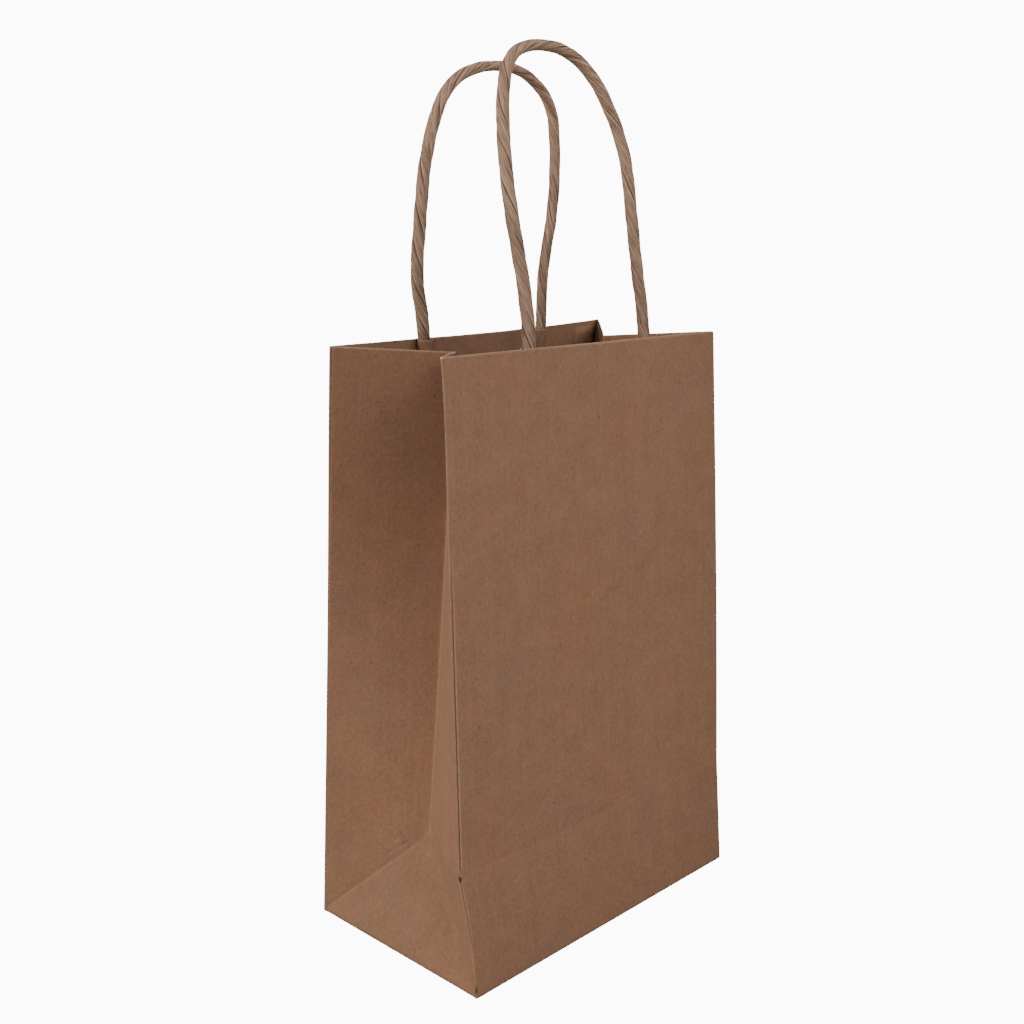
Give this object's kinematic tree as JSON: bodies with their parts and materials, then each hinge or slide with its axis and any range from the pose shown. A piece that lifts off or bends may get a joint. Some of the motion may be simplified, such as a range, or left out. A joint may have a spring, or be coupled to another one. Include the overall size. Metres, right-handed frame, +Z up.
{
  "type": "paper gift bag",
  "caption": "Block-bottom brown paper gift bag standing open, with folded side gussets, a flat-fold crease and two twisted-paper loop handles.",
  "frame": {"origin": "middle of the base, on the surface that the bag stands on", "axes": "+Z up, +X along the bag's width, the front panel faces -Y"},
  "size_m": [0.1352, 0.0822, 0.3075],
  "materials": {
    "bag_paper": "matte",
    "patch_paper": "matte",
    "twisted_paper": "matte"
  },
  "bodies": {
    "root": {"base_flap_outer": "bag_paper", "base_flap_inner": "bag_paper", "base_tuck_left": "bag_paper", "base_tuck_right": "bag_paper", "front_strip": "bag_paper", "back_panel": "bag_paper", "left_gusset_base": "bag_paper", "left_gusset_front": "bag_paper", "left_gusset_rear": "bag_paper", "right_gusset_base": "bag_paper", "right_gusset_front": "bag_paper", "right_gusset_rear": "bag_paper", "side_seam_lap": "bag_paper", "back_patch_backing": "patch_paper", "back_patch_cover": "patch_paper", "back_handle_ends": "twisted_paper"},
    "front_wall": {"front_panel": "bag_paper", "front_patch_backing": "patch_paper", "front_patch_cover": "patch_paper", "front_handle_ends": "twisted_paper"},
    "front_handle": {"front_handle_loop": "twisted_paper"},
    "back_handle": {"back_handle_loop": "twisted_paper"}
  },
  "joints": [
    {"name": "mouth", "type": "hinge", "parent": "root", "child": "front_wall", "pos_m": [0, -0.036, 0.04069], "axis": [1, 0, 0], "range_deg": [-3.5, 9], "deforming": ["left_gusset_front", "left_gusset_rear", "right_gusset_front", "right_gusset_rear"]},
    {"name": "front_handle_swing", "type": "hinge", "parent": "front_wall", "child": "front_handle", "pos_m": [0.0016, -0.02848, 0.2123], "axis": [1, 0, 0], "range_deg": [0, 98]},
    {"name": "back_handle_swing", "type": "hinge", "parent": "root", "child": "back_handle", "pos_m": [0.0005, 0.02067, 0.21179], "axis": [-1, 0, 0], "range_deg": [0, 94]}
  ]
}
